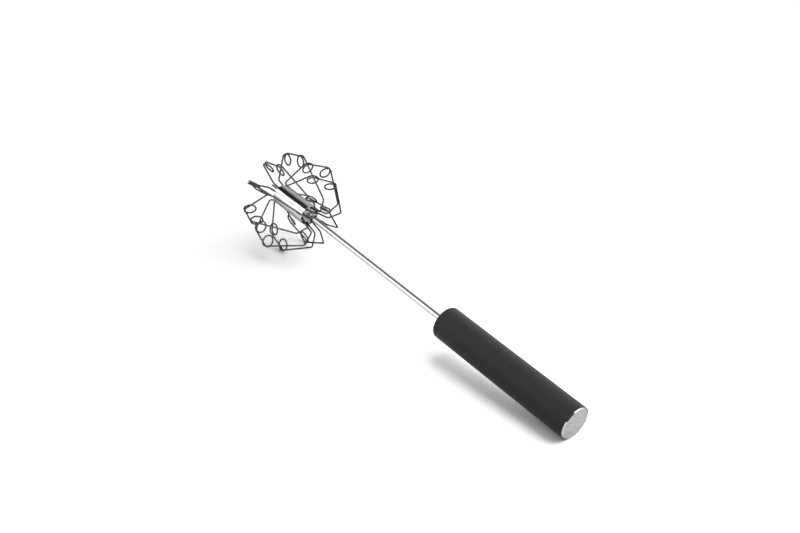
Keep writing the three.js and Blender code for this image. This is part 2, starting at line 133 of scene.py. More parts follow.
class Recipe:
    """One material while it is made: its node tree, and the patterns that its finish is put together from."""

    def __init__(self, name: str) -> None:
        """Starts an empty material whose patterns lie in the piece's own space.

        Args:
            name: The material's name.
        """
        self.material = bpy.data.materials.new(name)
        self.material.use_nodes = True
        self.tree = self.material.node_tree
        self.tree.nodes.clear()
        self.space = add_node(self.tree, "TexCoord").outputs["Object"]

    def noise(self, size: float, detail: float, roughness: float = 0.5) -> NodeSocket:
        """Adds a noise, from 0 to 1, of a size in millimetres, with finer layers of the given roughness."""
        inputs = {"Vector": self.space, "Scale": 1 / (size * MM), "Detail": detail, "Roughness": roughness}
        return add_node(self.tree, "TexNoise", inputs).outputs["Fac"]

    def streaks(self, size: tuple[float, float, float], detail: float, roughness: float = 0.5) -> NodeSocket:
        """Adds a noise that is stretched into streaks.

        Args:
            size: Its size in millimetres along X, Y and Z.
            detail: How many finer layers it has.
            roughness: How strong the finer layers are.

        Returns:
            The noise, from 0 to 1.
        """
        scale = tuple(1 / (side * MM) for side in size)
        stretched = add_node(self.tree, "Mapping", {"Vector": self.space, "Scale": scale}).outputs["Vector"]
        inputs = {"Vector": stretched, "Scale": 1.0, "Detail": detail, "Roughness": roughness}
        return add_node(self.tree, "TexNoise", inputs).outputs["Fac"]

    def spread(self, pattern: NodeSocket, low: float, high: float, start: float = 0.0, end: float = 1.0) -> NodeSocket:
        """Turns a pattern's part from start to end into values from low to high."""
        inputs = {"Value": pattern, "From Min": start, "From Max": end, "To Min": low, "To Max": high}
        return add_node(self.tree, "MapRange", inputs).outputs["Result"]

    def blend(self, share: NodeSocket, low: str, high: str) -> NodeSocket:
        """Blends two sRGB hex colours by a pattern."""
        inputs = {"data_type": "RGBA", 0: share, 6: linear(low), 7: linear(high)}
        return add_node(self.tree, "Mix", inputs).outputs[2]

    def relief(self, height: NodeSocket, strength: float, depth: float) -> NodeSocket:
        """Turns a pattern into relief of a depth in millimetres."""
        inputs = {"Height": height, "Strength": strength, "Distance": depth * MM}
        return add_node(self.tree, "Bump", inputs).outputs["Normal"]

    def coat(self, inputs: dict) -> Material:
        """Makes the surface of values and patterns by socket, and gives the finished material."""
        surface = add_node(self.tree, "BsdfPrincipled", inputs)
        return self.finish(surface.outputs["BSDF"])

    def finish(self, surface: NodeSocket) -> Material:
        """Joins the surface to the output, and gives the finished material."""
        add_node(self.tree, "OutputMaterial", {"Surface": surface})
        return self.material


@dataclass(frozen=True)
class SoftTouchAbs:
    """Moulded ABS under a sprayed soft-touch coat: a deep charcoal satin that greys softly towards the light."""

    shade: str = "#373737"
    deep_shade: str = "#323232"
    nap_shade: str = "#b6b6b6"
    ior: float = 1.5
    roughness: float = 0.5
    roughness_spread: float = 0.06
    cloud_size: float = 14.0  # handling and spray leave clouds about a thumb's width across
    grain_size: float = 0.7  # the coat's grain is near 0.1 mm, and is drawn coarser so that it shows
    grain_strength: float = 0.6
    grain_depth: float = 0.012
    gloss_level: float = 0.18  # the coat is full of matting powder, so it mirrors less than bare plastic
    nap: float = 0.5  # its rubbery nap catches light that grazes it
    nap_roughness: float = 0.4

    def build(self) -> Material:
        """Builds the material: cloudy colour and gloss, and a fine grain on the coat.

        Returns:
            The material.
        """
        recipe = Recipe("soft_touch_coated_abs")
        clouds = recipe.noise(self.cloud_size, MORE_LAYERS)
        grain = recipe.noise(self.grain_size, FEW_LAYERS)
        dullest = self.roughness + self.roughness_spread
        return recipe.coat(
            {
                "Base Color": recipe.blend(clouds, self.deep_shade, self.shade),
                "Roughness": recipe.spread(clouds, self.roughness - self.roughness_spread, dullest),
                "Normal": recipe.relief(grain, self.grain_strength, self.grain_depth),
                "IOR": self.ior,
                "Specular IOR Level": self.gloss_level,
                "Sheen Weight": self.nap,
                "Sheen Roughness": self.nap_roughness,
                "Sheen Tint": linear(self.nap_shade),
            }
        )


@dataclass(frozen=True)
class BrushedStainless:
    """Stainless steel brushed in one direction with a fine belt: a pale grey with straight, slightly darker streaks."""

    shade: str = "#f8f8f8"
    dark_shade: str = "#aaaaaa"
    roughness: float = 0.32
    roughness_spread: float = 0.08
    streak_width: float = 0.32  # the belt's scratches are finer, and are drawn in bands so that they show
    streak_length: float = 3.2
    streak_roughness: float = 0.65
    streak_contrast: tuple[float, float] = (0.3, 0.7)
    streak_strength: float = 0.5
    streak_depth: float = 0.004

    def build(self) -> Material:
        """Builds the material: streaks along the whisk's own Y in colour, gloss and height.

        Returns:
            The material.
        """
        recipe = Recipe("belt_brushed_stainless_steel")
        size = (self.streak_width, self.streak_length, self.streak_width)
        streaks = recipe.streaks(size, MORE_LAYERS, self.streak_roughness)
        contrast = recipe.spread(streaks, 0.0, 1.0, *self.streak_contrast)
        dullest = self.roughness + self.roughness_spread
        return recipe.coat(
            {
                "Metallic": 1.0,
                "Base Color": recipe.blend(contrast, self.dark_shade, self.shade),
                "Roughness": recipe.spread(streaks, dullest, self.roughness - self.roughness_spread),
                "Normal": recipe.relief(streaks, self.streak_strength, self.streak_depth),
            }
        )


@dataclass(frozen=True)
class PolishedStainless:
    """Stainless tube drawn and then polished lengthwise: near a mirror, with faint draw lines along it."""

    name: str = "polished_stainless_tube"
    shade: str = "#fcfcfc"
    dull_shade: str = "#f4f4f4"
    edge_shade: str = "#6c6c6c"  # steel turns greyer where it is seen along its surface
    roughness: float = 0.07
    smudge_roughness: float = 0.14
    smudge_size: float = 9.0
    smudge_contrast: tuple[float, float] = (0.35, 0.75)
    line_width: float = 0.35  # the die's lines are finer, and are drawn coarser so that they show
    line_length: float = 30.0
    line_strength: float = 0.3
    line_depth: float = 0.002

    def build(self) -> Material:
        """Builds the material: draw lines along the axis, and smudges that dull the polish in places.

        Returns:
            The material.
        """
        recipe = Recipe(self.name)
        lines = recipe.streaks((self.line_length, self.line_width, self.line_width), FEW_LAYERS)
        smudges = recipe.noise(self.smudge_size, MORE_LAYERS)
        return recipe.coat(
            {
                "Metallic": 1.0,
                "Specular Tint": linear(self.edge_shade),
                "Base Color": recipe.blend(lines, self.dull_shade, self.shade),
                "Roughness": recipe.spread(smudges, self.roughness, self.smudge_roughness, *self.smudge_contrast),
                "Normal": recipe.relief(lines, self.line_strength, self.line_depth),
            }
        )


@dataclass(frozen=True)
class TurnedStainless:
    """Stainless faced on a lathe: rings round the axis that break up the light."""

    shade: str = "#f2f2f2"
    dark_shade: str = "#d8d8d8"
    roughness: float = 0.34
    ring_spacing: float = 0.5  # the tool's feed is finer, and is drawn coarser so that it shows
    ring_wobble: float = 1.5
    ring_strength: float = 0.6
    ring_depth: float = 0.01

    def build(self) -> Material:
        """Builds the material: turning rings about the whisk's axis in colour and height.

        Returns:
            The material.
        """
        recipe = Recipe("turned_stainless_steel")
        inputs = {
            "wave_type": "RINGS",
            "rings_direction": "X",
            "Vector": recipe.space,
            "Scale": WAVE_SPACING / (self.ring_spacing * MM),
            "Distortion": self.ring_wobble,
            "Detail": FEW_LAYERS,
        }
        rings = add_node(recipe.tree, "TexWave", inputs).outputs["Fac"]
        return recipe.coat(
            {
                "Metallic": 1.0,
                "Roughness": self.roughness,
                "Base Color": recipe.blend(rings, self.dark_shade, self.shade),
                "Normal": recipe.relief(rings, self.ring_strength, self.ring_depth),
            }
        )


@dataclass(frozen=True)
class DrawnWire:
    """Steel wire pulled through a die: bright along its length, with dull patches, partly from bending and handling and
    partly a painted reflection where the dull shade is far darker.
    """

    name: str
    shade: str
    dull_shade: str
    edge_shade: str
    roughness: float
    dulling: float = 0.08
    polish: float = 0.02
    patch_size: float = 6.0
    patch_roughness: float = 0.6
    patch_strength: float = 0.4
    patch_depth: float = 0.01

    def build(self) -> Material:
        """Builds the material: patches of brighter and duller metal, partly wear and partly painted reflection, and a
        slightly uneven skin.

        Returns:
            The material.
        """
        recipe = Recipe(self.name)
        wear_and_reflection_patches = recipe.noise(self.patch_size, MORE_LAYERS, self.patch_roughness)
        return recipe.coat(
            {
                "Metallic": 1.0,
                "Specular Tint": linear(self.edge_shade),
                "Base Color": recipe.blend(wear_and_reflection_patches, self.dull_shade, self.shade),
                "Roughness": recipe.spread(wear_and_reflection_patches, self.roughness + self.dulling, self.roughness - self.polish),
                "Normal": recipe.relief(wear_and_reflection_patches, self.patch_strength, self.patch_depth),
            }
        )


@dataclass(frozen=True)
class MouldedPlastic:
    """Plastic or rubber from a steel mould: even in colour, with the mould's fine spark-eroded texture."""

    name: str
    shade: str
    deep_shade: str
    roughness: float
    ior: float
    cloud_size: float = 8.0
    texture_size: float = 0.6  # the mould's pits are finer, and are drawn coarser so that they show
    texture_strength: float = 0.5
    texture_depth: float = 0.01

    def build(self) -> Material:
        """Builds the material: a slight cloud in the colour and the mould's texture in the height.

        Returns:
            The material.
        """
        recipe = Recipe(self.name)
        clouds = recipe.noise(self.cloud_size, FEW_LAYERS)
        texture = recipe.noise(self.texture_size, FEW_LAYERS)
        return recipe.coat(
            {
                "IOR": self.ior,
                "Roughness": self.roughness,
                "Base Color": recipe.blend(clouds, self.deep_shade, self.shade),
                "Normal": recipe.relief(texture, self.texture_strength, self.texture_depth),
            }
        )


class Finishes:
    """Every finish on the whisk, built once."""

    def __init__(self) -> None:
        """Builds the finishes."""
        self.sleeve = SoftTouchAbs().build()
        self.cap = BrushedStainless().build()
        self.tube = PolishedStainless().build()
        self.chamfer = PolishedStainless("diamond_cut_stainless_chamfer", "#f6f6f6", "#ececec").build()
        self.plug = TurnedStainless().build()
        # The wings' dull shade is far darker than their bright one, so their patches are partly a painted reflection.
        self.wire = DrawnWire("drawn_stainless_wire", "#8c8c8c", "#2c2c2c", "#141414", 0.08).build()
        self.spring = DrawnWire("oiled_spring_steel_wire", "#8a8784", "#5f5c5a", "#5a5a5a", 0.3).build()
        # Near-black finish for the walls of the plugs' sockets and collar: painted shade in those recesses.
        self.recess_shade = MouldedPlastic("painted_shade_in_recesses", "#1a1918", "#0f0e0e", 0.7, 1.5).build()
        self.acetal = MouldedPlastic("moulded_white_acetal", "#e6e4df", "#dcd9d2", 0.42, 1.48).build()
        self.rubber = MouldedPlastic("moulded_nitrile_rubber", "#1e1e1e", "#161616", 0.75, 1.52).build()


@dataclass(frozen=True)
class Corner:
    """One corner of a turned profile: its place along the axis, its radius and how far it is rounded."""

    along: float
    radius: float
    rounding: float = 0.0


def rounded_profile(corners: list[Corner], steps: int = 6) -> list[Vector]:
    """Rounds the corners of a profile.

    Args:
        corners: The profile's corners in order, where the first one follows the last. An open profile's ends are sharp.
        steps: How many straight steps each rounding has.

    Returns:
        Points with x along the axis and y out from it.
    """
    sharp = [Vector((corner.along, corner.radius)) for corner in corners]
    points = []
    for i, corner in enumerate(corners):
        here = sharp[i]
        if corner.rounding == 0:
            points.append(here)
            continue
        back = (sharp[i - 1] - here).normalized()
        ahead = (sharp[(i + 1) % len(sharp)] - here).normalized()
        half = math.acos(max(-1.0, min(1.0, back.dot(ahead)))) / 2
        reach = corner.rounding / math.tan(half)
        centre = here + (back + ahead).normalized() * (corner.rounding / math.sin(half))
        start = here + back * reach - centre
        end = here + ahead * reach - centre
        sweep = math.atan2(start.x * end.y - start.y * end.x, start.dot(end))
        points += [centre + Matrix.Rotation(sweep * step / steps, 2) @ start for step in range(steps + 1)]
    return points


def around(along: float, radius: float, angle: float) -> Vector:
    """Gives a point from its place along the axis, its radius and its angle about the axis."""
    return Vector((along, radius * math.cos(angle), radius * math.sin(angle)))


def new_mesh(name: str, vertices: list[Vector], faces: list[tuple[int, ...]]) -> Mesh:
    """Makes a mesh.

    Args:
        name: Its name.
        vertices: Its vertices, in millimetres.
        faces: Its faces, as numbers of vertices.

    Returns:
        The mesh, in metres.
    """
    mesh = bpy.data.meshes.new(name)
    mesh.from_pydata([vertex * MM for vertex in vertices], [], faces)
    return mesh


def new_object(name: str, data: ID) -> Object:
    """Makes an object and puts it in the scene.

    Args:
        name: Its name.
        data: Its mesh, light or camera.

    Returns:
        The object.
    """
    made = bpy.data.objects.new(name, data)
    bpy.context.scene.collection.objects.link(made)
    return made


def turned_mesh(name: str, profile: list[Vector], facets: int, closed: bool) -> Mesh:
    """Turns a profile about the whisk's axis.

    Args:
        name: The mesh's name.
        profile: Points with x along the axis and y out from it, where 0 is on the axis.
        facets: How many facets go round.
        closed: Whether the last point joins the first, as in a ring.

    Returns:
        The mesh, in metres in the whisk's frame.
    """
    vertices = []
    rows = []
    for point in profile:
        sides = 1 if point.y < ON_AXIS else facets
        rows.append(range(len(vertices), len(vertices) + sides))
        vertices += [around(point.x, point.y, 2 * math.pi * k / facets) for k in range(sides)]
    pairs = list(zip(rows, rows[1:]))
    if closed:
        pairs.append((rows[-1], rows[0]))
    faces = []
    for first, second in pairs:
        if len(first) == len(second) == 1:
            continue
        for k in range(facets):
            following = (k + 1) % facets
            if len(first) == 1:
                faces.append((first[0], second[following], second[k]))
            elif len(second) == 1:
                faces.append((first[k], first[following], second[0]))
            else:
                faces.append((first[k], first[following], second[following], second[k]))
    return new_mesh(name, vertices, faces)


def tube_mesh(name: str, points: list[Vector], radius: float, sides: int) -> Mesh:
    """Makes a round wire with slightly bevelled ends along a line.

    Args:
        name: The mesh's name.
        points: The wire's middle line, in millimetres in the whisk's frame.
        radius: The wire's radius in millimetres.
        sides: How many sides the wire has.

    Returns:
        The mesh, in metres in the whisk's frame.
    """
    last = len(points) - 1
    tangents = [(points[min(i + 1, last)] - points[max(i - 1, 0)]).normalized() for i in range(last + 1)]
    bevel = radius * END_BEVEL
    stations = [(0, 0.0, radius - bevel), (0, bevel, radius)]
    stations += [(i, 0.0, radius) for i in range(1, last)]
    stations += [(last, -bevel, radius), (last, 0.0, radius - bevel)]
    start = Vector((0, 0, 1)) if abs(tangents[0].z) < NEAR_UPRIGHT else Vector((0, 1, 0))
    across = (start - tangents[0] * start.dot(tangents[0])).normalized()
    vertices = []
    shown = 0
    for index, shift, ring_radius in stations:
        if index != shown:
            across = (tangents[shown].rotation_difference(tangents[index]) @ across).normalized()
            shown = index
        up = tangents[index].cross(across)
        centre = points[index] + tangents[index] * shift
        for k in range(sides):
            angle = 2 * math.pi * k / sides
            vertices.append(centre + (across * math.cos(angle) + up * math.sin(angle)) * ring_radius)
    faces = []
    for near in range(0, len(vertices) - sides, sides):
        far = near + sides
        for k in range(sides):
            following = (k + 1) % sides
            faces.append((near + k, near + following, far + following, far + k))
    faces.append(tuple(reversed(range(sides))))
    faces.append(tuple(range(len(vertices) - sides, len(vertices))))
    return new_mesh(name, vertices, faces)


@dataclass(frozen=True)
class WhiskFrame:
    """Where the whisk's own frame lies in the row's frame."""

    matrix: Matrix

    @classmethod
    def from_joints(cls, joints: list[dict]) -> "WhiskFrame":
        """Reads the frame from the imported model's spin joint.

        Args:
            joints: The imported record's joints.

        Returns:
            The whisk's frame.
        """
        spin = next(joint for joint in joints if joint["name"] == "spin")
        along = Vector(spin["axis"]).normalized()
        side = Vector((0, 1, 0))
        up = along.cross(side).normalized()
        turn = Matrix((along, side, up)).transposed().to_4x4()
        return cls(Matrix.Translation(Vector(spin["pos_m"])) @ turn)

    def place(self, mesh: Mesh, material: Material, sharp_degrees: float) -> Object:
        """Makes a smooth-shaded piece of a mesh and puts it in the row's frame.

        Args:
            mesh: The piece's mesh, in metres in the whisk's frame.
            material: The piece's finish.
            sharp_degrees: Edges that turn more than this stay sharp.

        Returns:
            The piece.
        """
        piece = new_object(mesh.name, mesh)
        piece.matrix_world = self.matrix
        mesh.materials.append(material)
        mesh.validate()
        mesh.shade_smooth()
        mesh.set_sharp_from_angle(angle=math.radians(sharp_degrees))
        return piece


def refinish(node: str, material: Material) -> None:
    """Gives a carried-over CAD node its finish.

    Args:
        node: The node's name.
        material: Its finish.
    """
    piece = frame["nodes"][node]
    piece.data.materials.clear()
    piece.data.materials.append(material)
    log.info("%s keeps its CAD shape", node)


@dataclass
class SubAssembly:
    """Pieces that are built in the whisk's frame and ride on one body."""

    body: ClassVar[Body]

    home: WhiskFrame
    finishes: Finishes
    facets: int = 96
    rod_diameter: float = 4.6
    seat_gap: float = 0.3

    def dress(self, piece: Object, slot: Slot, node: str) -> None:
        """Puts a piece on the body in place of the CAD node that it stands for, and reports it.

        Args:
            piece: The piece.
            slot: The record's material slot; not used.
            node: The CAD node that it replaces.
        """
        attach(piece, self.body.value)
        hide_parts(node)
        log.info("%s rides on %s", piece.name, self.body.value)

    def add_ring(
        self, name: str, corners: list[Corner], material: Material, slot: Slot, node: str, steps: int = 6
    ) -> None:
        """Builds and dresses a turned piece that is open in the middle and has one finish.

        Args:
            name: The piece's name.
            corners: Its profile's corners.
            material: Its finish.
            slot: The record's material slot, handed on to dress.
            node: The CAD node that it replaces.
            steps: How many straight steps each rounding has.
        """
        mesh = turned_mesh(name, rounded_profile(corners, steps), self.facets, closed=True)
        self.dress(self.home.place(mesh, material, TURNED_EDGE), slot, node)


@dataclass
class Handle(SubAssembly):
    """The sleeve, bush and end cap, with the drive inside them."""

    body: ClassVar[Body] = Body.HANDLE

    front: float = 172.5
    length: float = 129.4
    diameter: float = 26.0
    sleeve_wall: float = 1.8
    sleeve_front_wall: float = 3.0
    sleeve_front_rounding: float = 1.4
    sleeve_back_rounding: float = 0.2
    sleeve_hole_rounding: float = 0.25
    lip: float = 0.35
    cap_gap: float = 0.12
    cap_thickness: float = 2.4
    cap_chamfer: float = 0.7
    cap_chamfer_rounding: float = 0.12
    rim_slope: float = 0.9  # what faces along the axis less than this is the polished rim
    spigot_length: float = 6.0
    spigot_rounding: float = 0.3
    seal_thickness: float = 1.6
    seal_set_back: float = 1.5
    bush_diameter: float = 10.0
    bush_proud: float = 0.8
    bush_flange: float = 2.0
    bush_hole_rounding: float = 0.3
    bush_nose_rounding: float = 0.5
    bush_flange_rounding: float = 0.2
    spring_diameter: float = 13.0
    spring_wire: float = 1.2
    spring_coils: int = 12
    spring_coil_steps: int = 24
    spring_sides: int = 8
    spring_end: float = 0.6  # from the spring's end to its wire's middle, as a share of the wire
    spring_front: float = 194.0
    spring_back: float = 286.9
    stroke: float = 55.0
    facets: int = 160

    def build(self) -> None:
        """Builds and dresses the handle's pieces."""
        self.build_sleeve()
        self.build_bush()
        self.build_cap()
        self.build_spring()
        refinish("handle_core", self.finishes.acetal)
        refinish("stop_ring", self.finishes.rubber)
        refinish("cap_plug", self.finishes.acetal)
        refinish("cap_seal", self.finishes.rubber)
        refinish("twisted_strip", self.finishes.cap)
        refinish("thrust_washer", self.finishes.acetal)

    def build_sleeve(self) -> None:
        """Builds the sleeve, which is closed in front apart from the bush's hole."""
        outer = self.diameter / 2
        bore = outer - self.sleeve_wall
        hole = self.bush_diameter / 2 + self.seat_gap
        lip_bore = outer - self.lip
        back = self.front + self.length - self.cap_chamfer
        lip_floor = self.front + self.length - self.cap_thickness - self.cap_gap
        floor = self.front + self.sleeve_front_wall
        corners = [
            Corner(floor, hole),
            Corner(self.front, hole, self.sleeve_hole_rounding),
            Corner(self.front, outer, self.sleeve_front_rounding),
            Corner(back, outer, self.sleeve_back_rounding),
            Corner(back, lip_bore),
            Corner(lip_floor, lip_bore),
            Corner(lip_floor, bore),
            Corner(floor, bore),
        ]
        self.add_ring("sleeve", corners, self.finishes.sleeve, Slot.SLEEVE, "handle_sleeve")

    def build_bush(self) -> None:
        """Builds the white bush that the rod slides and turns in."""
        nose = self.bush_diameter / 2
        hole = self.rod_diameter / 2 + self.seat_gap
        flange = self.diameter / 2 - self.sleeve_wall - self.seat_gap
        front = self.front - self.bush_proud
        seat = self.front + self.sleeve_front_wall + self.seat_gap
        back = seat + self.bush_flange
        corners = [
            Corner(back, hole),
            Corner(front, hole, self.bush_hole_rounding),
            Corner(front, nose, self.bush_nose_rounding),
            Corner(seat, nose),
            Corner(seat, flange, self.bush_flange_rounding),
            Corner(back, flange),
        ]
        self.add_ring("bush", corners, self.finishes.acetal, Slot.ACETAL, "front_bush")

    def build_cap(self) -> None:
        """Builds the steel end cap with its spigot and the seal's groove."""
        outer = self.diameter / 2 - self.lip - self.cap_gap
        edge = outer - self.cap_chamfer
        spigot = self.diameter / 2 - self.sleeve_wall - self.seat_gap
        groove = spigot - self.seal_thickness + self.seat_gap
        face = self.front + self.length
        disc = face - self.cap_thickness
        front = disc - self.spigot_length
        groove_back = disc - self.seal_set_back
        groove_front = groove_back - self.seal_thickness - 2 * self.seat_gap
        corners = [
            Corner(front, 0.0),
            Corner(front, spigot, self.spigot_rounding),
            Corner(groove_front, spigot),
            Corner(groove_front, groove),
            Corner(groove_back, groove),
            Corner(groove_back, spigot),
            Corner(disc, spigot),
            Corner(disc, outer),
            Corner(face - self.cap_chamfer, outer, self.cap_chamfer_rounding),
            Corner(face, edge, self.cap_chamfer_rounding),
            Corner(face, edge - self.lip),
            Corner(face, 0.0),
        ]
        mesh = turned_mesh("cap", rounded_profile(corners), self.facets, closed=False)
        piece = self.home.place(mesh, self.finishes.cap, TURNED_EDGE)
        mesh.materials.append(self.finishes.chamfer)
        for polygon in mesh.polygons:
            if polygon.center.x > disc * MM and abs(polygon.normal.x) < self.rim_slope:
                polygon.material_index = 1
        self.dress(piece, Slot.CAP, "end_cap")

    def build_spring(self) -> None:
        """Builds the return spring at one fixed length, though the real one shortens as the rod goes in."""
        length = self.spring_back - self.spring_front
        set_back = self.spring_end * self.spring_wire
        rise = length - 2 * set_back
        steps = self.spring_coils * self.spring_coil_steps
        points = []
        for i in range(steps + 1):
            along = self.spring_front + set_back + rise * i / steps
            points.append(around(along, self.spring_diameter / 2, 2 * math.pi * i / self.spring_coil_steps))
        mesh = tube_mesh("spring", points, self.spring_wire / 2, self.spring_sides)
        piece = self.home.place(mesh, self.finishes.spring, WIRE_EDGE)
        self.dress(piece, Slot.SPRING, "return_spring")
        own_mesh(piece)


@dataclass(frozen=True)
class WingBend:
    """How far one wing is off the even shape, in degrees and millimetres."""

    sway: float
    lean: float
    reach: float = 0.0
    shift: float = 0.0
    far_reach: float = 0.0
    far_shift: float = 0.0


@dataclass
class Spindle(SubAssembly):
    """The rod, hub and wings, and the nut that drives them."""

    body: ClassVar[Body] = Body.SPINDLE

    rod_wall: float = 0.5
    rod_back: float = 187.6
    rod_rounding: float = 0.15
    tip_reach: float = 57.6
    tip_length: float = 8.0
    tip_spigot: float = 6.0
    tip_steps: int = 12
    hub_diameter: float = 18.0
    hub_length: float = 41.0
    hub_wall: float = 0.7
    hub_rim_rounding: float = 0.25
    plug_thickness: float = 5.2
    plug_set_back: float = 0.8
    plug_inset: float = 0.5
    plug_rounding: float = 0.3
    plug_back_rounding: float = 0.1
    plug_facets: int = 240
    rim_skin: float = 0.05  # faces within this of the plug's radius are its rim
    wall_slope: float = 0.5  # what faces along the axis less than this is a wall of a socket or of the collar, which is painted near-black as shade
    socket_radius: float = 1.45
    socket_slack: float = 1.05
    collar_radius: float = 3.4
    collar_depth: float = 0.7
    collar_flare: float = 0.3
    wire_diameter: float = 1.4
    wire_sides: int = 12
    neck: tuple[float, float] = (12.7, 10.1)
    shoulder: tuple[float, float] = (14.0, 22.5)
    corner_one: tuple[float, float] = (-22.3, 44.8)
    corner_two: tuple[float, float] = (-44.4, 37.2)
    far_bend: tuple[float, float] = (-48.6, 10.1)
    bend_radius: float = 2.6
    bend_steps: int = 8
    entry_bend_radius: float = 5.0
    loop_radius: float = 4.9
    loop_turn_gap: float = 0.6
    loop_steps: int = 56
    longest_bend_share: float = 0.45
    lowest_wings: tuple[int, int] = (8, 9)
    wings: tuple[WingBend, ...] = (
        WingBend(sway=4.5, lean=4, reach=-1.5, far_reach=1),
        WingBend(sway=3.5, lean=1, reach=-1, far_reach=-1, far_shift=-1),
        WingBend(sway=-6.5, lean=-1.5, reach=-1.5, far_reach=-1.5, far_shift=-2),
        WingBend(sway=6, lean=1, reach=0.5, far_shift=-0.5),
        WingBend(sway=-1, lean=9, reach=0.5, far_shift=-1),
        WingBend(sway=-3.5, lean=6, shift=-1, far_reach=1.5),
        WingBend(sway=2, lean=1, reach=-2),
        WingBend(sway=6, lean=-5, reach=-0.5, shift=1.5, far_shift=3),
        WingBend(sway=-1.5, lean=3, reach=0.5),
        WingBend(sway=-5, lean=6, reach=0.5, far_reach=-3),
    )

    def build(self) -> None:
        """Builds and dresses the spindle's pieces."""
        self.build_rod()
        self.build_tip()
        self.build_hub()
        for number, wing in enumerate(self.wings, start=1):
            line = self.route(wing, number - 1)
            mesh = tube_mesh(f"wing_{number:02d}", line, self.wire_diameter / 2, self.wire_sides)
            piece = self.home.place(mesh, self.finishes.wire, WIRE_EDGE)
            self.dress(piece, Slot.WIRE, f"wire_wing_{number:02d}")
        self.build_plug("front_plug", "hub_front_plug", -self.plug_set_back, -1)
        self.build_plug("rear_plug", "hub_rear_plug", self.plug_set_back - self.hub_length, 1)
        refinish("drive_nut", self.finishes.acetal)

    def build_rod(self) -> None:
        """Builds the hollow rod."""
        outer = self.rod_diameter / 2
        bore = outer - self.rod_wall
        front = self.tip_length - self.tip_reach
        corners = [
            Corner(self.rod_back, bore),
            Corner(front, bore),
            Corner(front, outer, self.rod_rounding),
            Corner(self.rod_back, outer, self.rod_rounding),
        ]
        self.add_ring("rod", corners, self.finishes.tube, Slot.ROD, "rod_tube", steps=3)

    def build_tip(self) -> None:
        """Builds the rod's domed tip with the spigot that holds it in the tube."""
        outer = self.rod_diameter / 2
        spigot = outer - self.rod_wall - self.seat_gap
        front = -self.tip_reach
        back = front + self.tip_length - self.seat_gap
        profile = []
        for k in range(self.tip_steps + 1):
            angle = k * math.pi / 2 / self.tip_steps
            profile.append(Vector((front + outer - outer * math.cos(angle), outer * math.sin(angle))))
        end = back + self.tip_spigot
        profile += [Vector((back, outer)), Vector((back, spigot)), Vector((end, spigot)), Vector((end, 0.0))]
        mesh = turned_mesh("tip", profile, self.facets, closed=False)
        self.dress(self.home.place(mesh, self.finishes.tube, TURNED_EDGE), Slot.ROD, "rod_tip")

    def build_hub(self) -> None:
        """Builds the hub's tube."""
        outer = self.hub_diameter / 2
        bore = outer - self.hub_wall
        corners = [
            Corner(-self.hub_length / 2, bore),
            Corner(-self.hub_length, bore, self.hub_rim_rounding),
            Corner(-self.hub_length, outer, self.hub_rim_rounding),
            Corner(0.0, outer, self.hub_rim_rounding),
            Corner(0.0, bore, self.hub_rim_rounding),
        ]
        self.add_ring("hub", corners, self.finishes.tube, Slot.ROD, "hub_tube", steps=4)

    def seat_angle(self, index: int) -> float:
        """Gives the place of one wing's socket, with the two lowest wings even about straight down.

        Args:
            index: The wing's number from 0.

        Returns:
            Its angle about the axis, in degrees.
        """
        pitch = 360 / len(self.wings)
        lowest = sum(k * pitch + self.wings[k].sway for k in self.lowest_wings) / len(self.lowest_wings)
        return STRAIGHT_DOWN - lowest + index * pitch

    def seat_radius(self) -> float:
        """Gives the distance of the wings' sockets from the axis."""
        return self.hub_diameter / 2 - self.hub_wall - self.seat_gap - self.wire_diameter / 2

    def build_plug(self, name: str, node: str, face: float, inward: int) -> None:
        """Builds one of the hub's two plugs, with a socket at its edge for each wing and a sunk collar at the rod.

        Args:
            name: The piece's name.
            node: The CAD node that it replaces.
            face: Where its outer face is along the axis.
            inward: Which way along the axis goes into the hub, 1 or -1.
        """
        outer = self.hub_diameter / 2 - self.hub_wall - self.seat_gap
        hole = self.rod_diameter / 2 + self.seat_gap
        sunk = face + inward * self.collar_depth
        back = face + inward * self.plug_thickness
        corners = [
            Corner(back, hole),
            Corner(sunk, hole),
            Corner(sunk, self.collar_radius),
            Corner(face, self.collar_radius + self.collar_flare),
            Corner(face, outer - self.plug_inset),
            Corner(face, outer, self.plug_rounding),
            Corner(back, outer, self.plug_back_rounding),
        ]
        profile = rounded_profile(corners, steps=3)
        mesh = turned_mesh(name, profile if inward < 0 else profile[::-1], self.plug_facets, closed=True)
        seat = self.seat_radius() * MM
        socket = self.socket_radius * MM
        pitch = 2 * math.pi / len(self.wings)
        first = math.radians(self.seat_angle(0))
        for vertex in mesh.vertices:
            radius = math.hypot(vertex.co.y, vertex.co.z)
            turn = math.remainder(math.atan2(vertex.co.z, vertex.co.y) - first, pitch)
            across = seat * math.sin(turn)
            if abs(across) < socket:
                limit = seat * math.cos(turn) - math.sqrt(socket**2 - across**2)
                if radius > limit:
                    vertex.co.y *= limit / radius
                    vertex.co.z *= limit / radius
        piece = self.home.place(mesh, self.finishes.plug, PLUG_EDGE)
        # The walls of the sockets and of the collar take the near-black finish: painted shade in the recesses.
        mesh.materials.append(self.finishes.recess_shade)
        for polygon in mesh.polygons:
            radius = math.hypot(polygon.center.y, polygon.center.z)
            in_socket = seat - socket * self.socket_slack < radius < (outer - self.rim_skin) * MM
            in_collar = radius < self.collar_radius * MM
            if abs(polygon.normal.x) < self.wall_slope and (in_socket or in_collar):
                polygon.material_index = 1
        self.dress(piece, Slot.ROD, node)

